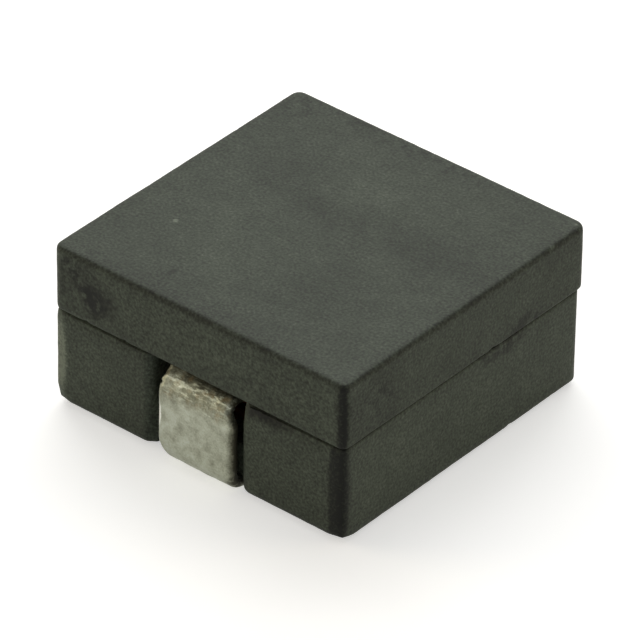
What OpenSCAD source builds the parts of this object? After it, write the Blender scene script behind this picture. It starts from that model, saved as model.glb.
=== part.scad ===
// Shielded surface-mount power inductor: a base core and a lid core of pressed ferrite, closed
// round one coil of flat copper wire. The coil is wound on edge, and its two ends are formed
// down and under the base core as the solder terminals.
// Millimetres, +Z up. The solder plane is z = 0 and the terminals stand at -Y and +Y.

/* [Body] */
// Width of the lid core, along X
body_w = 12.8; // [11:0.05:16]
// Depth of the lid core, along Y, from terminal side to terminal side
body_d = 12.75; // [11:0.05:16]
// Overall height above the solder plane
body_h = 6.5; // [6.2:0.05:8]
// Thickness of the lid core
lid_t = 2.55; // [1.8:0.05:2.8]
// How far each side of the base core stands back from the lid core's side
base_inset = 0.05; // [0:0.01:0.2]
// How far off centre the base core is glued, along X
base_shift = -0.05; // [-0.1:0.01:0.1]
// Height of the base core's underside above the solder plane
standoff = 0.1; // [0.05:0.01:0.2]
// Thickness of the glue line between the two cores
bond_t = 0.05; // [0.02:0.01:0.1]
// How far the glue line stays inside the edges that it joins
bond_inset = 0.25; // [0.15:0.01:0.3]

/* [Pressed edges] */
// Radius of the lid core's upright corners
lid_corner_r = 0.4; // [0.3:0.05:0.8]
// Radius of the base core's upright corners
base_corner_r = 0.5; // [0.4:0.05:0.8]
// Radius round the lid core's top face
lid_top_r = 0.2; // [0.1:0.05:0.3]
// Radius round the base core's underside
base_foot_r = 0.35; // [0.1:0.05:0.4]
// Radius of the edges that meet at the glue line
seam_r = 0.08; // [0.04:0.01:0.14]

/* [Winding space] */
// Thickness of the base core's rim where it is thinnest
rim_t = 0.8; // [0.65:0.05:1.2]
// Air gap between the centre post and the lid core
air_gap = 0.3; // [0.1:0.05:0.6]
// Clearance round the coil, to the post inside it and to the rim outside it
coil_play = 0.15; // [0.1:0.01:0.25]
// Clearance above the coil, to the top of the rim
head_play = 0.18; // [0:0.01:0.3]
// Radius at the foot of the post and of the rim
pocket_root_r = 0.12; // [0.05:0.01:0.15]

/* [Wire] */
// Width of the flat wire
wire_w = 3.35; // [2.6:0.05:4.1]
// Thickness of the flat wire
wire_t = 0.5; // [0.4:0.01:0.6]
// Radius of the flat wire's rolled corners
wire_edge_r = 0.2; // [0.05:0.01:0.2]

/* [Coil] */
// Whole turns between the two leads, which add part of a turn
whole_turns = 2; // [1:1:2]
// Gap between one turn and the next
turn_gap = 0.12; // [0.1:0.01:0.16]
// Turn over which the wire eases into its pitch at each end, in degrees
ease_turn = 20; // [10:1:30]

/* [Leads] */
// How far each lead runs to one side of the coil's axis
lead_offset = 0.12; // [0:0.01:0.15]
// Inside radius of the bend on edge that turns the wire outwards
edge_bend_r = 0.5; // [0.4:0.05:0.7]
// Inside radius of the fold that turns a lead down
fold_r = 0.5; // [0.4:0.05:0.6]
// Inside radius of the fold that turns it under the body
foot_fold_r = 0.3; // [0.25:0.05:0.4]
// How far a terminal stands proud of the lid core's side
lead_proud = 0.225; // [0.15:0.005:0.3]
// Flat length of a terminal's pad under the body
pad_l = 1.9; // [1.2:0.1:2.4]

/* [Notches] */
// How much wider each notch is than the wire
notch_extra = 0.53; // [0.5:0.01:1]
// How far each notch lies to one side of the base core's middle, along X
notch_offset = -0.06; // [-0.06:0.01:0]
// Clearance behind a terminal
lead_play = 0.15; // [0.05:0.01:0.2]
// Clearance past the tip of a pad
pad_play = 0.2; // [0.1:0.05:0.5]
// Radius of a notch's upright edges
notch_edge_r = 0.35; // [0.1:0.05:0.4]

/* [Hidden] */

$fn = 64;
over = 1; // how far a cut runs past the face it opens
wind_step = 7.5; // degrees of turn between two sections of the wire

// Base core
base_w = body_w - 2 * base_inset;
base_d = body_d - 2 * base_inset;
rim_z = body_h - lid_t - bond_t;
base_h = rim_z - standoff;

// Lengths that come out of a root or an angle are kept to a whole micron, so that what is
// placed by them meets face to face
function to_micron(length) = round(length * 1000) / 1000;

// Section of the flat wire about its centre, wire_w across and wire_t thick
half_w = wire_w / 2;
half_t = wire_t / 2;
function wire_corner(side, face, angle) = [
    to_micron(side * (half_w - wire_edge_r) + wire_edge_r * cos(angle)),
    to_micron(face * (half_t - wire_edge_r) + wire_edge_r * sin(angle))
];
wire_outline = [
    for (corner = [[1, 1, 0], [-1, 1, 90], [-1, -1, 180], [1, -1, 270]])
        for (step = [0, 45, 90])
            wire_corner(corner[0], corner[1], corner[2] + step)
];

// Plan of the coil: the winding, and the circle of each bend on edge, which touches it
pocket_r = min(base_w, base_d) / 2 - rim_t;
wind_r = pocket_r - coil_play - half_w;
post_r = wind_r - half_w - coil_play;
bend_r = edge_bend_r + half_w;
bend_x = lead_offset + bend_r;
bend_y = to_micron(sqrt(pow(wind_r + bend_r, 2) - pow(bend_x, 2)));
lead_turn = atan2(bend_y, bend_x);
wound = 360 * whole_turns + 2 * lead_turn;

// Heights of the coil: it rests on the floor of the base core and rises turn by turn
coil_rise = to_micron((wire_t + turn_gap) * (wound - ease_turn) / 360);
floor_z = rim_z - head_play - wire_t - coil_rise;
low_z = floor_z + half_t;
high_z = low_z + coil_rise;

// Terminals, seen from the side
lead_reach = body_d / 2 + lead_proud;
lead_back_y = lead_reach - wire_t;
fold_y = lead_back_y - fold_r;
foot_fold_y = lead_back_y - foot_fold_r;
pad_end_y = foot_fold_y - pad_l;

// Notches: the floor ends just behind the terminal, with edges that lie inside its folds
notch_w = wire_w + notch_extra;
nose_y = lead_back_y - lead_play;
nose_top_r = fold_r - lead_play;
nose_foot_r = foot_fold_r - lead_play;
notch_r = min(notch_edge_r, base_d / 2 - nose_y);

ferrite = "#4a4d4a";
tinned = "#9b9a90";
enamelled = "#8a4a2a";
epoxy = "#2a2826";

// A quarter of a disc, in the corner between +X and +Y
module quarter_disc(r) {
    intersection() {
        circle(r);
        square(r);
    }
}

// Half of a slab's upright section, from its middle to a side that is rounded above and below
module slab_section(half_w, h, top_r, foot_r) {
    translate([0, foot_r]) square([half_w, h - foot_r - top_r]);
    square([half_w - foot_r, foot_r]);
    translate([0, h - top_r]) square([half_w - top_r, top_r]);
    translate([half_w - foot_r, foot_r]) mirror([0, 1]) quarter_disc(foot_r);
    translate([half_w - top_r, h - top_r]) quarter_disc(top_r);
}

// A slab standing on z = 0: two crossed bars with a turned quarter post in each corner
module rounded_slab(w, d, h, corner_r, top_r, foot_r) {
    for (bar = [[w, d, 0], [d, w, 90]])
        rotate([90, 0, bar[2]])
            linear_extrude(bar[1] - 2 * corner_r, center = true)
                for (side = [0, 1])
                    mirror([side, 0]) slab_section(bar[0] / 2, h, top_r, foot_r);
    for (post = [[1, 1, 0], [-1, 1, 90], [-1, -1, 180], [1, -1, 270]])
        translate([post[0] * (w / 2 - corner_r), post[1] * (d / 2 - corner_r), 0])
            rotate([0, 0, post[2]])
                rotate_extrude(angle = 90) slab_section(corner_r, h, top_r, foot_r);
}

// The winding space, turned round the post, with the air gap above the post
module winding_space() {
    middle_r = (post_r + pocket_r) / 2;
    rotate_extrude() {
        translate([middle_r, floor_z])
            for (side = [0, 1])
                mirror([side, 0])
                    slab_section(pocket_r - middle_r, rim_z - floor_z + over, pocket_root_r, pocket_root_r);
        translate([0, rim_z + bond_t - air_gap]) square([middle_r, air_gap + over]);
    }
}

// The way of one lead through the rim, down past the floor's edge and back under it, at +Y
module lead_way() {
    inner_y = pad_end_y - pad_play;
    rotate([90, 0, 90])
        linear_extrude(notch_w, center = true)
            difference() {
                translate([inner_y, -over]) square([body_d - inner_y, rim_z + 2 * over]);
                translate([inner_y - over, wire_t])
                    slab_section(nose_y - inner_y + over, floor_z - wire_t, nose_top_r, nose_foot_r);
            }
}

// The mouth of one notch, whose upright edges are rounded, at +Y
module notch_mouth() {
    mouth_w = notch_w + 2 * notch_r;
    translate([0, 0, -over])
        linear_extrude(rim_z + 2 * over)
            difference() {
                translate([-mouth_w / 2, nose_y]) square([mouth_w, body_d - nose_y]);
                for (side = [-1, 1])
                    translate([side * mouth_w / 2, base_d / 2 - notch_r]) circle(notch_r);
                for (side = [0, 1])
                    mirror([side, 0])
                        translate([notch_w / 2, nose_y - over])
                            square([mouth_w, base_d / 2 - notch_r - nose_y + over]);
            }
}

module base_core() {
    color(ferrite)
        translate([base_shift, 0, 0])
            difference() {
                translate([0, 0, standoff])
                    rounded_slab(base_w, base_d, base_h, base_corner_r, seam_r, base_foot_r);
                winding_space();
                for (end = [0, 1])
                    mirror([0, end, 0])
                        translate([notch_offset, 0, 0]) {
                            lead_way();
                            notch_mouth();
                        }
            }
}

module lid_core() {
    color(ferrite)
        translate([0, 0, rim_z + bond_t])
            rounded_slab(body_w, body_d, lid_t, lid_corner_r, lid_top_r, seam_r);
}

// How far the wire has climbed after a turn, easing in and out of its pitch
function climb(turned) =
    turned < ease_turn ? coil_rise * pow(turned, 2) / (2 * ease_turn * (wound - ease_turn))
    : turned > wound - ease_turn ? coil_rise - climb(wound - turned)
    : coil_rise * (turned - ease_turn / 2) / (wound - ease_turn);

// The wire's way in plan: each station is its centre, the direction across it, and its height
wind_steps = ceil(wound / wind_step);
bend_steps = ceil(lead_turn / wind_step);
function bend_station(angle, side, z) = [
    [bend_x + bend_r * cos(angle), side * bend_y + bend_r * sin(angle)],
    [-cos(angle), -sin(angle)],
    z
];
stations = [
    for (i = [0:bend_steps - 1])
        bend_station(180 + lead_turn * i / bend_steps, 1, low_z),
    for (i = [0:wind_steps])
        let (turned = wound * i / wind_steps, angle = lead_turn - turned)
            [[wind_r * cos(angle), wind_r * sin(angle)], [cos(angle), sin(angle)], low_z + climb(turned)],
    for (i = [1:bend_steps])
        bend_station(180 - lead_turn * (1 - i / bend_steps), -1, high_z)
];

// The edge-wound coil with the bend on edge at each end of it
module winding() {
    corners = len(wire_outline);
    last = len(stations) - 1;
    points = [
        for (s = stations)
            for (p = wire_outline)
                [s[0][0] + s[1][0] * p[0], s[0][1] + s[1][1] * p[0], s[2] + p[1]]
    ];
    sides = [
        for (i = [0:last - 1])
            for (j = [0:corners - 1])
                let (a = i * corners + j, b = i * corners + (j + 1) % corners)
                    each [[a, b + corners, b], [a, a + corners, b + corners]]
    ];
    start_cap = [for (j = [0:corners - 1]) j];
    end_cap = [for (j = [corners - 1:-1:0]) last * corners + j];
    polyhedron(points, concat(sides, [start_cap, end_cap]));
}

// A straight run of wire along Y, lying flat, from y = from to y = to
module run_along_y(from, to) {
    translate([0, to, 0]) rotate([90, 0, 0]) linear_extrude(to - from) polygon(wire_outline);
}

// A quarter turn of the wire about an axis along X, from below the axis to in front of it
module fold(inside_r) {
    rotate([0, 90, 0])
        rotate_extrude(angle = 90)
            translate([inside_r + half_t, 0]) rotate(90) polygon(wire_outline);
}

// One lead with its terminal, at +Y, whose wire leaves the coil with its centre at height z
module lead(z) {
    upright_low_z = wire_t + foot_fold_r;
    upright_high_z = z - half_t - fold_r;
    translate([lead_offset, 0, 0]) {
        translate([0, 0, z]) run_along_y(bend_y, fold_y);
        translate([0, fold_y, upright_high_z]) mirror([0, 0, 1]) fold(fold_r);
        translate([0, lead_reach - half_t, upright_low_z])
            linear_extrude(upright_high_z - upright_low_z) polygon(wire_outline);
        translate([0, foot_fold_y, upright_low_z]) fold(foot_fold_r);
        translate([0, 0, half_t]) run_along_y(pad_end_y, foot_fold_y);
    }
}

module coil() {
    translate([base_shift, 0, 0]) {
        color(enamelled) winding();
        color(tinned) lead(low_z);
        color(tinned) mirror([0, 1, 0]) lead(high_z);
    }
}

// The glue on one side of the rim, from notch to notch, on the +X side, where the notches
// reach to x = notch_x
module glue_line(notch_x) {
    glue_r = base_corner_r - bond_inset;
    corner_x = base_w / 2 - base_corner_r;
    corner_y = base_d / 2 - base_corner_r;
    start_x = notch_x + notch_r + bond_inset;
    linear_extrude(bond_t)
        difference() {
            union() {
                translate([start_x, -corner_y - glue_r])
                    square([corner_x - start_x, 2 * (corner_y + glue_r)]);
                translate([corner_x, -corner_y]) square([glue_r, 2 * corner_y]);
                for (side = [0, 1])
                    mirror([0, side]) translate([corner_x, corner_y]) quarter_disc(glue_r);
            }
            circle(pocket_r + bond_inset);
        }
}

module adhesive_right() {
    color(epoxy) translate([base_shift, 0, rim_z]) glue_line(notch_w / 2 + notch_offset);
}

module adhesive_left() {
    color(epoxy) translate([base_shift, 0, rim_z]) mirror([1, 0, 0]) glue_line(notch_w / 2 - notch_offset);
}

base_core();
coil();
adhesive_left();
adhesive_right();
lid_core();
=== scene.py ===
import math
import random

import bmesh
import bpy
from mathutils import Matrix, Vector


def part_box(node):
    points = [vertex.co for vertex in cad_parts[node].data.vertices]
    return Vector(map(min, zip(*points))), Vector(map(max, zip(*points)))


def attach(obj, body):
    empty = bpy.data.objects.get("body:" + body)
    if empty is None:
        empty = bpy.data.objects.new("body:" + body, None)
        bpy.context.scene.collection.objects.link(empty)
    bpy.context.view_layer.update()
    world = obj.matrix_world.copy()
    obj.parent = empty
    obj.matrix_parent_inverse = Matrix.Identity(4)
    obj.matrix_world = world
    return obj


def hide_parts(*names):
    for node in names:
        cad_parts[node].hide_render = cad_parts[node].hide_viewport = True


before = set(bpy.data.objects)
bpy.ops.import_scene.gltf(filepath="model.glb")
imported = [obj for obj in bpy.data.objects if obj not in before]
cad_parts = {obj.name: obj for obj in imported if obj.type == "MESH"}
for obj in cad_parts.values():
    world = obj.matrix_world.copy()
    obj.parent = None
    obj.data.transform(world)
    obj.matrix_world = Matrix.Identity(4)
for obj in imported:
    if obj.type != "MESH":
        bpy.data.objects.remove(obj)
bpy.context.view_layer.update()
mm = 0.001  # metres; pieces are modelled with one unit as a millimetre and shrunk at the end
hair = 0.0005  # mm, left between a finished piece and the size that it was made to
touching = 0.001  # mm; what is nearer than this lies at the same place
random.seed(4)  # the same chips every time


def choose(*pieces):  # the last one becomes the active one
    bpy.ops.object.select_all(action="DESELECT")
    for piece in pieces:
        piece.select_set(True)
    bpy.context.view_layer.objects.active = pieces[-1]


def justAdded(name):
    piece = bpy.context.object
    piece.name = piece.data.name = name
    return piece


def startEdit(piece, kind):
    choose(piece)
    bpy.ops.object.mode_set(mode="EDIT")
    bpy.ops.mesh.select_mode(type=kind)
    bpy.ops.mesh.select_all(action="DESELECT")


def pick(piece, parts, test):  # parts is "verts", "edges" or "faces" of the mesh in edit mode
    bpy.ops.mesh.select_all(action="DESELECT")
    mesh = bmesh.from_edit_mesh(piece.data)
    for part in getattr(mesh, parts):
        if test(part):
            part.select_set(True)
    mesh.select_flush_mode()
    bmesh.update_edit_mesh(piece.data)


def endEdit():
    bpy.ops.object.mode_set(mode="OBJECT")


def settle(piece):  # puts the piece's own place, turn and size into its mesh
    choose(piece)
    bpy.ops.object.transform_apply(location=True, rotation=True, scale=True)


def easeIn(value, start, end):  # 0 up to start, 1 from end on, and smooth between them
    share = max(0.0, min(1.0, (value - start) / (end - start)))
    return share * share * (3 - 2 * share)


def stretch(piece, x, y, z):
    piece.scale = (x, y, z)
    settle(piece)


def roundEdges(piece, test, radius, segments):
    startEdit(piece, "EDGE")
    pick(piece, "edges", test)
    bpy.ops.mesh.bevel(offset=radius, segments=segments)
    endEdit()


def finishWith(piece, kind, **settings):  # adds a modifier and applies it
    choose(piece)
    modifier = piece.modifiers.new(kind.lower(), kind)
    for name, value in settings.items():
        setattr(modifier, name, value)
    bpy.ops.object.modifier_apply(modifier=modifier.name)


def combine(piece, tool, operation):  # "DIFFERENCE", "UNION" or "INTERSECT", and the tool is used up
    finishWith(piece, "BOOLEAN", operation=operation, object=tool, solver="EXACT")
    bpy.data.objects.remove(tool)


def roughen(piece, name, size, height, group=""):  # uneven by up to height, mostly inwards
    texture = bpy.data.textures.new(name, "CLOUDS")
    texture.noise_scale = size
    texture.noise_depth = 2
    finishWith(piece, "DISPLACE", texture=texture, texture_coords="LOCAL", strength=height,
               mid_level=0.75, vertex_group=group)


def wear(piece, depth, nearness):  # takes up to depth off the surface; nearness gives 0 to 1
    group = piece.vertex_groups.new(name="worn")
    for vertex in piece.data.vertices:
        share = nearness(vertex.co)
        if share > 0:
            group.add([vertex.index], share, "REPLACE")
    finishWith(piece, "DISPLACE", strength=-depth, mid_level=0, vertex_group="worn")
    piece.vertex_groups.clear()


def flattenTo(piece, low, high):  # nothing stands out past the size that it was pressed or drawn to
    for vertex in piece.data.vertices:
        vertex.co = [
            min(max(part, low[axis] + hair), high[axis] - hair) for axis, part in enumerate(vertex.co)
        ]


def boxInMm(node):
    low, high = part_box(node)
    return low / mm, high / mm


def finishPiece(piece, node, material):
    piece.scale = (mm, mm, mm)
    settle(piece)
    piece.data.materials.clear()
    piece.data.materials.append(material)
    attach(piece, "root")
    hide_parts(node)


viewpoint = {
    "azimuth": 39.63,  # degrees round from the terminal side
    "elevation": 34.82,
    "roll": 0.765,
    "place": (0.037, 2.437, 231.01),  # mm from the origin, along the camera's own axes
    "lens": 382.365, "sensor": 36,  # mm
    "nearest": 0.01,  # metres
}


def addCamera():
    turn = Matrix.Rotation(math.radians(viewpoint["azimuth"]), 3, "Z")
    turn = turn @ Matrix.Rotation(math.radians(90 - viewpoint["elevation"]), 3, "X")
    turn = turn @ Matrix.Rotation(math.radians(viewpoint["roll"]), 3, "Z")
    place = turn @ Vector(viewpoint["place"]) * mm
    bpy.ops.object.camera_add(location=place, rotation=turn.to_euler())
    camera = bpy.context.object
    camera.data.lens = viewpoint["lens"]
    camera.data.sensor_width = viewpoint["sensor"]
    camera.data.clip_start = viewpoint["nearest"]
    bpy.context.scene.camera = camera


lampDistance = 0.5  # metres
lampSettings = {  # degrees round from the terminal side and up, metres across, and watts
    "overhead": {"azimuth": 220, "elevation": 75, "side": 0.4, "power": 0.4, "tint": "#ffffff"},
    "behind": {"azimuth": 220, "elevation": 38, "side": 0.5, "power": 1.6, "tint": "#ffffff"},
    "left": {"azimuth": -62, "elevation": 14, "side": 0.25, "power": 0.8, "tint": "#ffedc8"},
    "right": {"azimuth": 128, "elevation": 14, "side": 0.25, "power": 0.5, "tint": "#ffedc8"},
}


def addLamp(name, azimuth, elevation, side, power, tint):
    around, up = math.radians(azimuth), math.radians(elevation)
    away = Vector((math.sin(around) * math.cos(up), -math.cos(around) * math.cos(up), math.sin(up)))
    turn = away.to_track_quat("Z", "Y").to_euler()
    bpy.ops.object.light_add(type="AREA", location=away * lampDistance, rotation=turn)
    lamp = justAdded(name)
    lamp.data.shape = "SQUARE"
    lamp.data.size = side
    lamp.data.energy = power
    lamp.data.color = colour(tint)[:3]


def colour(written):  # sRGB hex to linear
    parts = [int(written[i:i + 2], 16) / 255 for i in (1, 3, 5)]
    linear = [part / 12.92 if part <= 0.04045 else ((part + 0.055) / 1.055) ** 2.4 for part in parts]
    return (*linear, 1.0)


def addNode(tree, kind, settings, sockets):  # a value sets a socket, an output is linked to it
    node = tree.nodes.new("ShaderNode" + kind)
    for name, value in settings.items():
        setattr(node, name, value)
    for name, value in sockets.items():
        if isinstance(value, bpy.types.NodeSocket):
            tree.links.new(value, node.inputs[name])
        else:
            node.inputs[name].default_value = value
    return node


def newMaterial(name):  # returns the material, its nodes and the place on the piece in mm
    material = bpy.data.materials.new(name)
    material.use_nodes = True
    tree = material.node_tree
    tree.nodes.clear()
    where = addNode(tree, "TexCoord", {}, {})
    place = addNode(tree, "Mapping", {}, {"Vector": where.outputs["Object"], "Scale": (1 / mm,) * 3})
    return material, tree, place.outputs["Vector"]


def setStops(ramp, stops):  # stops are {position: hex}; they are coloured once they all lie in order
    elements = ramp.color_ramp.elements
    while len(elements) < len(stops):
        elements.new(0.5)
    for element, position in zip(elements, sorted(stops)):
        element.position = position
    for element, position in zip(elements, sorted(stops)):
        element.color = colour(stops[position])


ferriteFinish = {
    "tones": {0.0: "#11120e", 0.25: "#2a2d25", 0.5: "#40463c", 0.75: "#565d51", 1.0: "#72796b"},
    # mm across one spot, how far it moves the tone either way, and how broken it is
    "clouds": (3.4, 0.08, 3.0),  # of dust
    "smears": (0.9, 0.09, 4.0),  # where it was rubbed
    "blotches": (0.45, 0.08, 2.0),  # uneven spots of the pressed skin
    "grain": (0.1, 0.48, 1.0),  # the real grain is finer, and this is the finest that shows
    "pits": (0.22, 0.006),  # mm across, and mm deep
    # how far the painted shade by the edges darkens the tone
    "edgeShadeDepth": 0.26,
}
patchEdge = 0.16  # how softly the patches inside a mark end


# Each mark makes a part of a face lighter or darker. It has its centre, its half sizes and the width
# of one patch inside it, all in mm. Then come the level above which the patches show, the change of
# tone, and the share of the half sizes that it fills in full.
def addMarks(tree, place, tone, marks):
    for at, size, patch, start, change, core in marks:
        away = addNode(tree, "VectorMath", {"operation": "SUBTRACT"}, {0: place, 1: at})
        shrunk = addNode(tree, "VectorMath", {"operation": "DIVIDE"}, {0: away.outputs[0], 1: size})
        far = addNode(tree, "VectorMath", {"operation": "LENGTH"}, {0: shrunk.outputs[0]})
        inside = addNode(tree, "MapRange", {"interpolation_type": "SMOOTHSTEP"}, {
            "Value": far.outputs["Value"], "From Min": 1.0, "From Max": core,
        })
        patchy = addNode(tree, "TexNoise", {}, {"Vector": place, "Scale": 1 / patch, "Detail": 3.0})
        broken = addNode(tree, "MapRange", {"interpolation_type": "SMOOTHSTEP"}, {
            "Value": patchy.outputs["Fac"], "From Min": start, "From Max": start + patchEdge,
        })
        strength = addNode(tree, "Math", {"operation": "MULTIPLY"}, {
            0: inside.outputs["Result"], 1: broken.outputs["Result"],
        })
        tone = addNode(tree, "Math", {"operation": "MULTIPLY_ADD"}, {
            0: strength.outputs[0], 1: change, 2: tone,
        }).outputs[0]
    return tone


def pressedFerrite(name, marks):
    # Pressed and sintered ferrite: matt, nearly black stone with a green cast. Dust and handling
    # cloud it, and painted shade darkens it by its edges.
    material, tree, place = newMaterial(name)
    finish = ferriteFinish
    tone = 0.5
    for layer in ("clouds", "smears", "blotches", "grain"):
        size, share, detail = finish[layer]
        spots = addNode(tree, "TexNoise", {}, {
            "Vector": place, "Scale": 1 / size, "Detail": detail, "Roughness": 0.55,
        })
        centred = addNode(tree, "Math", {"operation": "SUBTRACT"}, {0: spots.outputs["Fac"], 1: 0.5})
        tone = addNode(tree, "Math", {"operation": "MULTIPLY_ADD"}, {
            0: centred.outputs[0], 1: share * 2, 2: tone,
        }).outputs[0]
    grain = spots.outputs["Fac"]  # the last layer
    # painted shade by the edges, read from the points of the block
    edge = addNode(tree, "Attribute", {"attribute_name": "paintedEdgeShade"}, {})
    tone = addNode(tree, "Math", {"operation": "MULTIPLY_ADD"}, {
        0: edge.outputs["Fac"], 1: -finish["edgeShadeDepth"], 2: tone,
    }).outputs[0]
    tone = addMarks(tree, place, tone, marks)
    ramp = addNode(tree, "ValToRGB", {}, {"Fac": tone})
    setStops(ramp, finish["tones"])
    rough = addNode(tree, "MapRange", {}, {"Value": grain, "To Min": 0.52, "To Max": 0.74})
    size, depth = finish["pits"]
    pits = addNode(tree, "TexNoise", {}, {
        "Vector": place, "Scale": 1 / size, "Detail": 4.0, "Roughness": 0.6,
    })
    bump = addNode(tree, "Bump", {}, {
        "Strength": 0.6, "Distance": depth * mm, "Height": pits.outputs["Fac"],
    })
    shader = addNode(tree, "BsdfPrincipled", {}, {
        "Base Color": ramp.outputs["Color"], "Roughness": rough.outputs["Result"],
        "Normal": bump.outputs["Normal"], "IOR": 1.5, "Specular IOR Level": 0.15,
    })
    addNode(tree, "OutputMaterial", {}, {"Surface": shader.outputs[0]})
    return material


tinFinish = {
    "tones": {0.0: "#3c3b2f", 0.25: "#6e6f5f", 0.5: "#9c9f8e", 0.75: "#b6baac", 1.0: "#f0efe4"},
    # mm across, and the share of the tone
    "mottle": (0.5, 0.7),  # one frozen patch of tin
    "grain": (0.07, 0.3),
    "crazing": 0.14,  # mm across one spot of the crazed coat
    "alongFold": 0.35,  # the crazed spots are longer along a fold, by one over this
    # from where to where round the fold, of 0 to 1, the tone changes, and by how much: darker from its
    # start, a painted highlight on the crest, and painted shade where it goes in under the lid
    "foldTonesAndPaintedLight": ((-0.1, 0.2, -0.2), (0.43, 0.5, 0.18), (0.5, 0.58, -0.42)),
    "stain": "#7a6a4c",
    "stainSize": 0.3,  # mm
    "stainMost": 0.35,
    "dents": 0.02,  # mm deep
    "marks": [
        # a painted highlight along one edge, and painted shade with a brown foot along the other,
        # where its side faces the notch wall
        ((-1.53, -6.5, 2.0), (0.2, 0.5, 0.75), 0.4, 0.1, 0.65, 0.5),
        ((1.88, -6.3, 1.8), (0.5, 0.8, 3.0), 0.5, 0.1, -0.6, 0.25),
        # the end of the fold that stays light up to the lid
        ((-1.2, -6.1, 3.6), (0.6, 0.4, 0.4), 0.2, 0.3, 0.2, 0.35),
        ((1.75, -6.4, 0.4), (0.5, 0.7, 0.45), 0.2, 0.3, -0.3, 0.35),
        # paler patches where the tin froze last
        ((-1.0, -6.6, 1.9), (0.5, 0.3, 0.45), 0.3, 0.3, 0.08, 0.35),
        ((-1.25, -6.6, 1.2), (0.4, 0.3, 0.5), 0.3, 0.3, 0.08, 0.35),
    ],
}


def hotTinnedCopper():
    # Hot-tinned copper: a dull, silver-grey tin coat with a warm cast, mottled where it froze.
    # On the folds the coat is crazed and stained yellow, with painted glints, a painted highlight and
    # painted shade.
    material, tree, place = newMaterial("hot-tinned copper")
    finish = tinFinish
    (mottleSize, mottleShare), (grainSize, grainShare) = finish["mottle"], finish["grain"]
    mottle = addNode(tree, "TexNoise", {}, {
        "Vector": place, "Scale": 1 / mottleSize, "Detail": 3.0, "Roughness": 0.6,
    }).outputs["Fac"]
    grain = addNode(tree, "TexNoise", {}, {
        "Vector": place, "Scale": 1 / grainSize, "Detail": 2.0,
    }).outputs["Fac"]
    tone = 0.0
    for noise, share in ((mottle, mottleShare), (grain, grainShare)):
        tone = addNode(tree, "Math", {"operation": "MULTIPLY_ADD"}, {
            0: noise, 1: share, 2: tone,
        }).outputs[0]
    along = addNode(tree, "Mapping", {}, {"Vector": place, "Scale": (finish["alongFold"], 1, 1)})
    crazed = addNode(tree, "TexNoise", {}, {
        "Vector": along.outputs[0], "Scale": 1 / finish["crazing"], "Detail": 3.0, "Roughness": 0.6,
    })
    # how far round the fold a point lies, with the wrinkles' unevenness: darker from its start,
    # then a broken painted highlight on the crest, and painted shade where it goes in under the lid
    turn = addNode(tree, "Attribute", {"attribute_name": "turn"}, {}).outputs["Fac"]
    uneven = addNode(tree, "Math", {"operation": "SUBTRACT"}, {0: crazed.outputs["Fac"], 1: 0.5})
    turn = addNode(tree, "Math", {"operation": "MULTIPLY_ADD"}, {
        0: uneven.outputs[0], 1: 0.5, 2: turn,
    }).outputs[0]
    # round the fold: darker from its start, a painted highlight on the crest, and painted shade under
    # the lid
    for start, end, change in finish["foldTonesAndPaintedLight"]:
        share = addNode(tree, "MapRange", {"interpolation_type": "SMOOTHSTEP"}, {
            "Value": turn, "From Min": start, "From Max": end,
        })
        tone = addNode(tree, "Math", {"operation": "MULTIPLY_ADD"}, {
            0: share.outputs["Result"], 1: change, 2: tone,
        }).outputs[0]
    start, end = finish["foldTonesAndPaintedLight"][0][:2]
    worked = addNode(tree, "MapRange", {}, {
        "Value": turn, "From Min": start, "From Max": end,
    }).outputs[0]
    # bright specks over the fold: painted glints on the crazed coat
    glintSpecks = addNode(tree, "MapRange", {}, {
        "Value": crazed.outputs["Fac"], "From Min": 0.5, "From Max": 0.7, "To Max": 0.25,
    })
    foldGlints = addNode(tree, "Math", {"operation": "MULTIPLY"}, {0: glintSpecks.outputs["Result"], 1: worked})
    tone = addNode(tree, "Math", {}, {0: tone, 1: foldGlints.outputs[0]}).outputs[0]
    tone = addMarks(tree, place, tone, finish["marks"])
    ramp = addNode(tree, "ValToRGB", {}, {"Fac": tone})
    setStops(ramp, finish["tones"])
    stainSpots = addNode(tree, "TexNoise", {}, {
        "Vector": place, "Scale": 1 / finish["stainSize"], "Detail": 3.0,
    })
    stainPart = addNode(tree, "MapRange", {}, {
        "Value": stainSpots.outputs["Fac"], "From Min": 0.5, "From Max": 0.66,
        "To Max": finish["stainMost"],
    })
    stained = addNode(tree, "Math", {"operation": "MULTIPLY"}, {
        0: stainPart.outputs["Result"], 1: worked,
    })
    coat = addNode(tree, "Mix", {"data_type": "RGBA"}, {
        0: stained.outputs[0], 6: ramp.outputs["Color"], 7: colour(finish["stain"]),
    })
    rough = addNode(tree, "MapRange", {}, {"Value": tone, "To Min": 0.62, "To Max": 0.34})
    height = addNode(tree, "Math", {"operation": "MULTIPLY_ADD"}, {0: grain, 1: 0.35, 2: mottle})
    bump = addNode(tree, "Bump", {}, {
        "Strength": 0.6, "Distance": finish["dents"] * mm, "Height": height.outputs[0],
    })
    shader = addNode(tree, "BsdfPrincipled", {}, {
        "Base Color": coat.outputs[2], "Roughness": rough.outputs["Result"], "Metallic": 0.9,
        "Normal": bump.outputs["Normal"],
    })
    addNode(tree, "OutputMaterial", {}, {"Surface": shader.outputs[0]})
    return material


enamelFinish = {
    "tones": {0.3: "#4c2412", 0.55: "#6b371f", 0.8: "#8a5034"},
    "streaks": 0.8,  # mm across one streak of the rolled copper
    "dents": 0.01,  # mm deep
}


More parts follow.
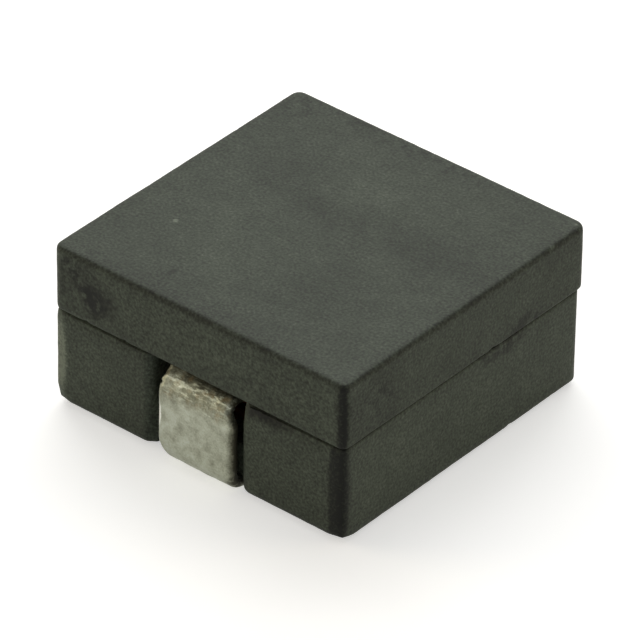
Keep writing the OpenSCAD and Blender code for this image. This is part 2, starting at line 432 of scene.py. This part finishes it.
def enamelledCopper():
    # Enamelled copper: bright rolled copper under a thin clear amber enamel, so it shows red
    # brown with a hard gloss
    material, tree, place = newMaterial("enamelled copper")
    finish = enamelFinish
    streaks = addNode(tree, "TexNoise", {}, {
        "Vector": place, "Scale": 1 / finish["streaks"], "Detail": 3.0,
    }).outputs["Fac"]
    ramp = addNode(tree, "ValToRGB", {}, {"Fac": streaks})
    setStops(ramp, finish["tones"])
    rough = addNode(tree, "MapRange", {}, {"Value": streaks, "To Min": 0.28, "To Max": 0.44})
    bump = addNode(tree, "Bump", {}, {
        "Strength": 0.3, "Distance": finish["dents"] * mm, "Height": streaks,
    })
    shader = addNode(tree, "BsdfPrincipled", {}, {
        "Base Color": ramp.outputs["Color"], "Roughness": rough.outputs["Result"], "Metallic": 1.0,
        "Normal": bump.outputs["Normal"], "Coat Weight": 0.8, "Coat Roughness": 0.12,
    })
    addNode(tree, "OutputMaterial", {}, {"Surface": shader.outputs[0]})
    return material


glueFinish = {
    "tones": {0.35: "#171613", 0.7: "#292723"},
    "lumps": 0.4,  # mm across one lump of filler
    "dents": 0.01,  # mm deep
}


def curedEpoxy():
    # Cured epoxy: a dark filled adhesive, smooth from flowing and faintly lumpy with filler
    material, tree, place = newMaterial("cured epoxy")
    finish = glueFinish
    lumps = addNode(tree, "TexNoise", {}, {
        "Vector": place, "Scale": 1 / finish["lumps"], "Detail": 2.0,
    }).outputs["Fac"]
    ramp = addNode(tree, "ValToRGB", {}, {"Fac": lumps})
    setStops(ramp, finish["tones"])
    rough = addNode(tree, "MapRange", {}, {"Value": lumps, "To Min": 0.3, "To Max": 0.5})
    bump = addNode(tree, "Bump", {}, {
        "Strength": 0.4, "Distance": finish["dents"] * mm, "Height": lumps,
    })
    shader = addNode(tree, "BsdfPrincipled", {}, {
        "Base Color": ramp.outputs["Color"], "Roughness": rough.outputs["Result"],
        "Normal": bump.outputs["Normal"], "IOR": 1.55,
    })
    addNode(tree, "OutputMaterial", {}, {"Surface": shader.outputs[0]})
    return material


stageSettings = {"floorSide": 2.4, "paper": "#f0f0ee", "glow": 0.5, "ambient": 0.25}


def whereSeen(tree):  # 1 where it is looked at, also in metal or glass, and 0 where it only lights
    seen = addNode(tree, "LightPath", {}, {})
    straight = addNode(tree, "Math", {"operation": "MAXIMUM"}, {
        0: seen.outputs["Is Camera Ray"], 1: seen.outputs["Is Glossy Ray"],
    })
    clear = addNode(tree, "Math", {"operation": "MAXIMUM"}, {
        0: straight.outputs[0], 1: seen.outputs["Is Transmission Ray"],
    })
    return clear.outputs[0]


def addStage():
    bpy.ops.mesh.primitive_plane_add(size=stageSettings["floorSide"])
    floor = justAdded("floor")
    material, tree, _ = newMaterial("matt paper")
    lift = addNode(tree, "Math", {"operation": "MULTIPLY"}, {
        0: whereSeen(tree), 1: stageSettings["glow"],
    })
    glow = addNode(tree, "Emission", {}, {"Strength": lift.outputs[0]})
    paper = addNode(tree, "BsdfDiffuse", {}, {"Color": colour(stageSettings["paper"])})
    both = addNode(tree, "AddShader", {}, {0: paper.outputs[0], 1: glow.outputs[0]})
    addNode(tree, "OutputMaterial", {}, {"Surface": both.outputs[0]})
    floor.data.materials.append(material)

    world = bpy.data.worlds.new("studio")
    world.use_nodes = True
    tree = world.node_tree
    tree.nodes.clear()
    strength = addNode(tree, "MapRange", {}, {
        "Value": whereSeen(tree), "To Min": stageSettings["ambient"],
    })
    air = addNode(tree, "Background", {}, {
        "Color": colour("#ffffff"), "Strength": strength.outputs["Result"],
    })
    addNode(tree, "OutputWorld", {}, {"Surface": air.outputs[0]})
    bpy.context.scene.world = world
    for name, settings in lampSettings.items():
        addLamp(name, **settings)
    bpy.context.scene.view_settings.view_transform = "Standard"


def addBox(name, centre, size):
    bpy.ops.mesh.primitive_cube_add(size=1, location=centre, scale=size)
    box = justAdded(name)
    settle(box)
    return box


def isRim(edge, level):  # an outer edge, so not a flat one, of the face at this height
    bent = edge.calc_face_angle(0) > math.radians(30)
    return bent and all(abs(v.co.z - level) < touching for v in edge.verts)


def roundCorners(block, corners):  # {the corner's sides: its width along X and depth along Y}
    for (sideX, sideY), (wide, deep) in corners.items():
        def isCorner(edge):
            upright = abs(edge.verts[0].co.z - edge.verts[1].co.z) > touching
            return upright and all(v.co.x * sideX > 0 and v.co.y * sideY > 0 for v in edge.verts)

        stretch(block, 1, wide / deep, 1)
        roundEdges(block, isCorner, wide, 7)
        stretch(block, 1, deep / wide, 1)


chipShape = {"squash": (0.7, 1.6), "turn": 3.1}  # times its size on each axis, and radians


def chipEdges(block, low, high, edges, count, sizes):
    # Pressed ferrite chips along its edges: small rough scoops at random places. An edge is given
    # by the share of the way from low to high on each axis, with None for the axis that it runs along.
    scoops = []
    for i in range(count):
        edge = random.choice(edges)
        along = random.random()
        shares = [along if share is None else share for share in edge]
        place = [low[axis] + (high[axis] - low[axis]) * share for axis, share in enumerate(shares)]
        size = random.uniform(*sizes)
        shape = [size * random.uniform(*chipShape["squash"]) for axis in range(3)]
        turn = [random.uniform(0, chipShape["turn"]) for axis in range(3)]
        bpy.ops.mesh.primitive_ico_sphere_add(
            subdivisions=2, radius=1, location=place, rotation=turn, scale=shape,
        )
        scoops.append(bpy.context.object)
    choose(*scoops)
    bpy.ops.object.join()
    combine(block, bpy.context.object, "DIFFERENCE")


coreSkin = {
    "voxel": 0.08,  # mm across one face
    "smoothing": 0.5, "passes": 2,
    "waves": (3.0, 0.03), "skin": (0.3, 0.012),  # mm across, and mm high
}


def giveSkin(block, name):  # as the press and the kiln leave it: one even skin, a little wavy
    finishWith(block, "REMESH", mode="VOXEL", voxel_size=coreSkin["voxel"], use_smooth_shade=True)
    finishWith(block, "SMOOTH", factor=coreSkin["smoothing"], iterations=coreSkin["passes"])
    roughen(block, name + "Waves", *coreSkin["waves"])
    roughen(block, name + "Skin", *coreSkin["skin"])


edgeShadeSpread = {
    "full": 0.25,  # a face gets the full painted shade over this share of a reach from its edge
    "low": 0.2, "less": 0.04,  # further in it gets this much painted shade, and this much less for each reach
    "seamShare": 0.4, "seamReach": 0.2,  # the share and the mm by the seam, where less shade is painted
}


def paintEdgeShade(block, low, high, reaches, seamZ):
    # How much painted shade each point of the block gets, by how far it lies from the nearest edge.
    # That is counted in reaches, and the X, Y and Z faces each have their own.
    edgeShades = []
    for vertex in block.data.vertices:
        inwards = sorted(
            (min(vertex.co[axis] - low[axis], high[axis] - vertex.co[axis]), axis) for axis in range(3)
        )
        (_, face), (fromEdge, _) = inwards[:2]
        far = fromEdge / reaches[face]
        share = edgeShadeSpread["seamShare"] if abs(vertex.co.z - seamZ) < edgeShadeSpread["seamReach"] else 1.0
        nearby, beyond = 1 + edgeShadeSpread["full"] - far, edgeShadeSpread["low"] - far * edgeShadeSpread["less"]
        edgeShades.append(share * max(0.0, beyond, min(1.0, nearby)))
    block.data.attributes.new("paintedEdgeShade", "FLOAT", "POINT").data.foreach_set("value", edgeShades)


lidShape = {
    "corners": {
        (-1, -1): (0.4, 0.4), (1, -1): (0.3, 0.3), (-1, 1): (0.4, 0.4), (1, 1): (0.46, 0.46),
    },
    "top": 0.18, "seam": 0.08, "edgeReach": (0.2, 0.2, 0.2),
    "chipped": [
        (None, 0, 1), (None, 1, 1), (0, None, 1), (1, None, 1),
        (None, 0, 0), (1, None, 0), (0, None, 0),
    ],
    "chips": (26, (0.05, 0.11)),  # how many, and from how small to how large in mm
    "marks": [
        # scuffs at one end of the terminal side
        ((-5.0, -6.4, 5.2), (1.9, 0.3, 1.5), 1.5, 0.2, -0.15, 0.35),
        ((-4.5, -6.4, 4.95), (0.75, 0.3, 0.85), 0.3, 0.34, -0.42, 0.35),
        ((-5.1, -6.4, 5.5), (0.6, 0.3, 0.6), 0.25, 0.42, -0.28, 0.35),
        ((-3.75, -6.4, 5.1), (0.5, 0.3, 0.7), 0.2, 0.44, -0.28, 0.35),
        ((-5.6, -6.4, 5.9), (0.6, 0.3, 0.5), 0.25, 0.42, -0.24, 0.35),
        # paler where dust lies on the top, and darker where it was rubbed off
        ((-0.1, 3.1, 6.5), (2.0, 1.7, 0.3), 1.2, 0.1, 0.1, 0.0),
        ((-3.4, -1.2, 6.5), (1.6, 1.3, 0.3), 1.2, 0.1, 0.08, 0.0),
        ((-1.2, -3.0, 6.5), (2.6, 1.6, 0.3), 1.2, 0.1, 0.06, 0.0),
        ((-3.4, 2.4, 6.5), (2.0, 1.8, 0.3), 1.2, 0.1, -0.1, 0.0),
        ((-0.6, 1.0, 6.5), (3.6, 1.1, 0.3), 1.2, 0.1, -0.08, 0.0),
        ((3.8, 1.4, 6.5), (3.4, 1.7, 0.3), 1.2, 0.1, -0.13, 0.0),
        ((2.2, -2.6, 6.5), (1.7, 3.0, 0.3), 1.2, 0.1, -0.07, 0.0),
        # painted shade in a band along the top's front edge, leading into the rounded edge
        ((-1.0, -6.0, 6.5), (6.0, 1.3, 0.3), 1.2, 0.1, -0.05, 0.0),
        # darker where it was rubbed off, along the back edge and at one back corner
        ((-1.0, 6.0, 6.5), (5.5, 0.9, 0.3), 0.3, 0.48, -0.14, 0.35),
        ((-5.6, 5.5, 6.5), (1.0, 1.0, 0.3), 0.5, 0.42, -0.14, 0.35),
        # a nick, three bright specks and a few dark pits on the top
        ((-2.26, -4.96, 6.5), (0.14, 0.34, 0.3), 0.3, 0.2, -0.2, 0.35),
        ((-4.18, -2.61, 6.5), (0.14, 0.14, 0.3), 0.5, 0.1, 0.5, 0.35),
        ((6.3, 4.5, 6.45), (0.12, 0.16, 0.2), 0.5, 0.1, 0.35, 0.35),
        ((6.1, 6.0, 6.5), (0.12, 0.12, 0.2), 0.5, 0.1, 0.3, 0.35),
        ((1.2, -3.9, 6.5), (3.5, 2.0, 0.3), 0.16, 0.63, -0.22, 0.35),
        # the upright edge at its other end gets painted shade, and the side round from it is duller
        # and has two smudges
        ((6.3, -6.375, 5.2), (0.36, 0.3, 4.0), 1.0, 0.1, -0.38, 0.35),
        ((6.4, -4.9, 5.0), (0.3, 2.4, 2.4), 1.2, 0.2, -0.09, 0.35),
        ((6.4, 1.5, 5.2), (0.3, 7.0, 3.0), 1.6, 0.1, -0.04, 0.6),
        ((6.4, -4.7, 5.2), (0.3, 1.1, 0.9), 0.25, 0.46, -0.24, 0.35),
        ((6.4, 3.1, 4.1), (0.3, 1.3, 0.6), 0.35, 0.36, -0.28, 0.35),
    ],
}


def makeLid():
    low, high = boxInMm("lid_core")
    shape = lidShape
    lid = addBox("pressedLid", (low + high) / 2, high - low)
    roundCorners(lid, shape["corners"])
    roundEdges(lid, lambda e: isRim(e, high.z), shape["top"], 5)
    roundEdges(lid, lambda e: isRim(e, low.z), shape["seam"], 3)
    chipEdges(lid, low, high, shape["chipped"], *shape["chips"])
    giveSkin(lid, "lid")
    flattenTo(lid, low, high)
    paintEdgeShade(lid, low, high, shape["edgeReach"], low.z)
    ferrite = pressedFerrite("pressed ferrite, lid", shape["marks"])
    finishPiece(lid, "lid_core", ferrite)


baseShape = {
    "corners": {
        (-1, -1): (0.6, 0.22), (1, -1): (0.6, 0.2), (-1, 1): (0.45, 0.45), (1, 1): (0.48, 0.48),
    },
    "foot": 0.35, "footSide": 0.14,  # the foot's round, and its flatter width on the plain sides
    "seam": 0.08, "edgeReach": (0.12, 0.3, 0.2),
    "pocketRadius": 5.525, "floor": 1.784,
    "postRadius": 1.875, "postTop": 0.25,  # the post ends this far under the rim
    "notchWidth": 3.88, "notchAside": -0.06, "notchEdge": 0.35,
    "nose": 0.375,  # how deep the notch's mouth is, from the core's side
    "wayIn": 4.0,  # where the way in over the floor ends, from the middle
    "tipRoom": 2.625, "padRoom": 0.5,  # how far the room under the floor goes in and up
    "chipped": [(None, 0, 1), (None, 1, 1), (1, None, 1), (0, None, 1), (None, 0, 0), (1, None, 0)],
    "chips": (22, (0.05, 0.12)),  # how many, and from how small to how large in mm
    # mm deep, and mm from there to where it ends
    "rimWorn": (0.15, 0.4), "notchWorn": (0.08, 0.8), "footWorn": (0.12, 0.7),
    "rimFade": 0.7,  # how much less the rim is worn at the corner than beside the notch
    "rimFrom": 0.5,  # that starts this many mm inside the notch
    "rimElsewhere": 0.4,  # how much it is worn on the rest of the terminal side
    "notchCorner": (0.1, 0.2),  # mm past the notch, and mm under the rim
    "marks": [
        # one upright edge of the terminal side gets a painted highlight, and the other painted shade
        ((-6.22, -6.3, 2.1), (0.56, 0.5, 2.2), 1.0, 0.1, 0.5, 0.45),
        ((6.06, -6.33, 2.0), (0.46, 0.6, 4.0), 1.0, 0.1, -0.4, 0.6),
        # the side round from that has dust and a smudge at the seam
        ((6.3, -3.8, 2.2), (0.3, 2.6, 2.4), 1.6, 0.2, 0.05, 0.0),
        ((6.3, 2.0, 3.8), (0.3, 1.7, 0.65), 0.35, 0.36, -0.3, 0.35),
        # on the terminal side, painted shade under the lid on the worn rim, a pale foot by the notch,
        # and dust past it
        ((2.7, -6.3, 3.8), (1.9, 0.3, 0.55), 0.4, 0.3, -0.4, 0.2),
        ((2.4, -6.32, 0.6), (0.35, 0.4, 0.5), 0.5, 0.2, 0.16, 0.35),
        ((-4.3, -6.32, 2.1), (1.6, 0.3, 1.4), 1.2, 0.2, 0.04, 0.0),
    ],
}


def makeBase():
    low, high = boxInMm("base_core")
    shape = baseShape
    middle = (low + high) / 2
    past, above = 1, 9  # how far a cutter stands out of the core, and a height over its top
    base = addBox("pressedBase", middle, high - low)
    narrow = shape["foot"] / shape["footSide"]
    stretch(base, narrow, 1, 1)
    roundEdges(base, lambda e: isRim(e, low.z), shape["foot"], 5)
    stretch(base, 1 / narrow, 1, 1)
    out = Vector((0, 0, past))
    planLow, planHigh = low - out, high + out
    plan = addBox("plan", (planLow + planHigh) / 2, planHigh - planLow)
    roundCorners(plan, shape["corners"])
    combine(base, plan, "INTERSECT")
    roundEdges(base, lambda e: isRim(e, high.z), shape["seam"], 3)

    # the round winding space, and the centre post left standing in it
    tall = 4  # out past the rim
    bpy.ops.mesh.primitive_cylinder_add(
        vertices=128, radius=shape["pocketRadius"], depth=tall,
        location=(middle.x, 0, shape["floor"] + tall / 2),
    )
    combine(base, bpy.context.object, "DIFFERENCE")
    root, postTop = 1, high.z - shape["postTop"]  # the root lies inside the floor
    bpy.ops.mesh.primitive_cylinder_add(
        vertices=64, radius=shape["postRadius"], depth=postTop - root,
        location=(middle.x, 0, (postTop + root) / 2),
    )
    combine(base, bpy.context.object, "UNION")

    # the two notches: a mouth, a way in over the floor and a way back under it
    notchX = middle.x + shape["notchAside"]
    width, outer = shape["notchWidth"], high.y + past
    steps = (
        (high.y - shape["nose"], -past, above),
        (shape["wayIn"], shape["floor"], above),
        (high.y - shape["tipRoom"], -past, shape["padRoom"]),
    )
    for side in (-1, 1):
        for inner, bottom, top in steps:
            centre = (notchX, side * (inner + outer) / 2, (bottom + top) / 2)
            cutter = addBox("cutter", centre, (width, outer - inner, top - bottom))
            combine(base, cutter, "DIFFERENCE")

    def isNotchEdge(edge):
        return all(
            abs(abs(v.co.x - notchX) - width / 2) < touching
            and abs(v.co.y) > high.y - shape["foot"] - touching
            for v in edge.verts
        )

    roundEdges(base, isNotchEdge, shape["notchEdge"], 6)
    chipEdges(base, low, high, shape["chipped"], *shape["chips"])
    giveSkin(base, "base")

    # the rim is worn round along the terminal side, most of all beside the notch
    notchEnd = notchX + width / 2
    depth, rimReach = shape["rimWorn"]

    def nearRim(co):
        away = math.hypot(co.y - low.y, co.z - high.z)
        beside = (co.x - notchEnd) / (high.x - notchEnd)
        onIt = co.x > notchEnd - shape["rimFrom"]
        along = 1 - shape["rimFade"] * beside if onIt else shape["rimElsewhere"]
        return max(0, 1 - away / rimReach) * along

    wear(base, depth, nearRim)
    # so are the notch's upper corner and the two corners of the foot on that side
    depth, notchReach = shape["notchWorn"]
    aside, under = shape["notchCorner"]
    notchCorner = Vector((notchEnd + aside, low.y, high.z - under))
    wear(base, depth, lambda co: max(0, 1 - (co - notchCorner).length / notchReach))
    depth, footReach = shape["footWorn"]
    feet = [Vector((x, low.y, low.z)) for x in (low.x, high.x)]
    wear(base, depth, lambda co: max(0, 1 - min((co - foot).length for foot in feet) / footReach))
    flattenTo(base, low, high)
    paintEdgeShade(base, low, high, shape["edgeReach"], high.z)
    ferrite = pressedFerrite("pressed ferrite, base", shape["marks"])
    finishPiece(base, "base_core", ferrite)


leadShape = {
    "width": 3.35, "thickness": 0.5, "edge": 0.25, "aside": 0.12,
    "rise": 1.436,  # from the rear lead's wire up to the front lead's
    "bendY": 5.408, "foldRadius": 0.75, "footRadius": 0.55,  # to the middle of the wire
    "padTip": 3.9, "step": 0.1, "cuts": 29,  # mm between rows, and how often a row is cut
    "weld": 0.0005,  # mm between points that are one
    # bending draws the fold narrower at one end and the foot at the other, by these shares of half
    # the width: the fold between these shares of its turn, and the foot from this many mm up, and
    # in full this many mm lower
    "drawnFold": 0.16, "foldNarrows": (0, 0.45), "foldWidens": (0.8, 1.2),
    "drawnFoot": 0.14, "footTop": 1.0, "footNarrows": 0.8,
    # a shallow step across the flat part: mm deep, a point of it on X and Z, how far it goes along X
    # for each mm down, and mm wide
    "crease": 0.02, "creaseAt": (0.78, 3.03), "creaseSlope": 0.39, "creaseWidth": 0.15,
    "creaseWithin": 0.1,  # mm from the outer face, within which it is pressed in
    "creaseDown": 2,  # fold radii under the fold, down to which it goes
    "wrinkled": (0, 0.4),  # from where to where round the fold the wrinkles set in
    "wrinkles": (0.2, 0.05), "waves": (0.9, 0.05), "skin": (0.16, 0.012),  # mm across, and mm high
    "wrinkleStretch": 0.3,  # the wrinkles are longer along the fold, by one over this
}


def makeTerminal(name, side, drop, material):  # drop is how far it leaves under the coil's top turn
    shape = leadShape
    coilLow, coilHigh = boxInMm("coil")
    baseLow, baseHigh = boxInMm("base_core")
    centreX = (baseLow.x + baseHigh.x) / 2 + shape["aside"]
    wireZ = coilHigh.z - shape["thickness"] / 2 - drop
    reach = coilHigh.y - shape["thickness"] / 2
    foldY, footY = reach - shape["foldRadius"], reach - shape["footRadius"]
    foldZ, footZ = wireZ - shape["foldRadius"], shape["footRadius"] + shape["thickness"] / 2
    step = shape["step"]

    # the flat wire's section, standing at the end of the winding
    bpy.ops.mesh.primitive_plane_add(
        size=1, location=(centreX, side * shape["bendY"], wireZ), rotation=(math.pi / 2, 0, 0),
    )
    lead = justAdded(name)
    lead.scale = (shape["width"], shape["thickness"], 1)
    settle(lead)
    startEdit(lead, "VERT")
    bpy.ops.mesh.select_all(action="SELECT")
    bpy.ops.mesh.bevel(offset=shape["edge"], segments=4, affect="VERTICES")
    bpy.ops.mesh.select_mode(type="EDGE")
    pick(lead, "edges", lambda e: e.calc_length() > 1)
    bpy.ops.mesh.subdivide(number_cuts=shape["cuts"])

    def run(direction, length):  # carries the wire on in a straight line
        steps = max(1, round(length / step))
        for i in range(steps):
            bpy.ops.mesh.extrude_region_move(
                TRANSFORM_OT_translate={"value": Vector(direction) * length / steps}
            )

    def fold(y, z, radius):  # turns it by a right angle about a line along X
        bpy.ops.mesh.spin(
            steps=round(radius * math.pi / 2 / step), angle=math.pi / 2 * side,
            center=(0, side * y, z), axis=(1, 0, 0),
        )

    bpy.ops.mesh.select_mode(type="FACE")
    bpy.ops.mesh.select_all(action="SELECT")
    run((0, side, 0), foldY - shape["bendY"])
    fold(foldY, foldZ, shape["foldRadius"])
    run((0, 0, -1), foldZ - footZ)
    fold(footY, footZ, shape["footRadius"])
    run((0, -side, 0), footY - shape["padTip"])
    bpy.ops.mesh.select_all(action="SELECT")
    bpy.ops.mesh.remove_doubles(threshold=shape["weld"])
    bpy.ops.mesh.normals_make_consistent(inside=False)
    endEdit()
    finishWith(lead, "SUBSURF", levels=1, render_levels=1)

    def foldShare(co):  # how far round the upper fold: 0 where it starts and 1 where it ends
        outwards, upwards = side * co.y - foldY, co.z - foldZ
        if upwards < 0:
            return upwards / shape["foldRadius"]
        if outwards < 0:
            return 1 - outwards / shape["foldRadius"]
        return math.atan2(upwards, outwards) / (math.pi / 2)

    shares = [foldShare(vertex.co) for vertex in lead.data.vertices]
    creaseX, creaseZ = shape["creaseAt"]
    for vertex, share in zip(lead.data.vertices, shares):
        across = vertex.co.x - centreX
        if across > 0:
            narrow = easeIn(share, *shape["foldNarrows"]) * (1 - easeIn(share, *shape["foldWidens"]))
            lost = shape["drawnFold"] * narrow
        else:
            lost = shape["drawnFoot"] * easeIn(shape["footTop"] - vertex.co.z, 0, shape["footNarrows"])
        vertex.co.x -= lost * across
        outer = side * vertex.co.y > coilHigh.y - shape["creaseWithin"]
        if outer and share > -shape["creaseDown"]:
            beside = vertex.co.x - creaseX - (creaseZ - vertex.co.z) * shape["creaseSlope"]
            vertex.co.y -= side * shape["crease"] * easeIn(beside, 0, shape["creaseWidth"])

    lead.vertex_groups.new(name="fold")
    for i, share in enumerate(shares):
        lead.vertex_groups["fold"].add([i], easeIn(share, *shape["wrinkled"]), "REPLACE")
    lead.data.attributes.new("turn", "FLOAT", "POINT").data.foreach_set("value", shares)
    stretch(lead, shape["wrinkleStretch"], 1, 1)
    roughen(lead, name + "Wrinkles", *shape["wrinkles"], "fold")
    stretch(lead, 1 / shape["wrinkleStretch"], 1, 1)
    roughen(lead, name + "Waves", *shape["waves"])
    roughen(lead, name + "Skin", *shape["skin"])
    flattenTo(lead, coilLow, coilHigh)
    choose(lead)
    bpy.ops.object.shade_smooth()
    finishPiece(lead, "coil", material)
    print(name, "folded, with", len(lead.data.vertices), "points")


windingCopy = {
    "weld": 0.002,  # mm between points that are one
    "padsUnder": 1,  # mm; what is left of the pads lies under this height
    "smoothUnder": 40,  # degrees between two faces
    "cutFace": 0.01,  # mm; what is this near to where the leads begin is the cut face
}


def makeWinding(tin):
    # the wound part keeps its constructed shape, cut off where the leads begin
    shape = windingCopy
    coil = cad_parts["coil"].copy()
    coil.data = coil.data.copy()
    coil.parent = None
    bpy.context.scene.collection.objects.link(coil)
    coil.name = coil.data.name = "edgeWoundCoil"
    for key in list(coil.keys()):  # the copy is no node of the frame
        del coil[key]
    coil.scale = (1 / mm,) * 3
    settle(coil)
    startEdit(coil, "VERT")
    bpy.ops.mesh.select_all(action="SELECT")
    bpy.ops.mesh.remove_doubles(threshold=shape["weld"])
    for side in (-1, 1):
        bpy.ops.mesh.select_all(action="SELECT")
        bpy.ops.mesh.bisect(
            plane_co=(0, side * leadShape["bendY"], 0), plane_no=(0, side, 0),
            clear_outer=True, use_fill=True,
        )
    pick(coil, "verts", lambda v: v.co.z < shape["padsUnder"])
    bpy.ops.mesh.delete(type="VERT")
    endEdit()
    choose(coil)
    bpy.ops.object.shade_smooth_by_angle(angle=math.radians(shape["smoothUnder"]))
    finishPiece(coil, "coil", enamelledCopper())
    # the enamel is off and the tin is on where the wire is cut through
    coil.data.materials.append(tin)
    for face in coil.data.polygons:
        if abs(face.center.y) > (leadShape["bendY"] - shape["cutFace"]) * mm:
            face.material_index = 1


def layGlue():  # the two glue lines keep their constructed shape
    glue = curedEpoxy()
    for name in ("adhesive_left", "adhesive_right"):
        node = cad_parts[name]
        node.data.materials.clear()
        node.data.materials.append(glue)


addCamera()
addStage()
print("camera, floor and lights stand")
makeLid()
print("lid core pressed")
makeBase()
print("base core pressed")
tin = hotTinnedCopper()
makeWinding(tin)
makeTerminal("frontTerminal", -1, 0, tin)
makeTerminal("rearTerminal", 1, leadShape["rise"], tin)
print("coil wound and its terminals folded")
layGlue()
print("glue lines cured")
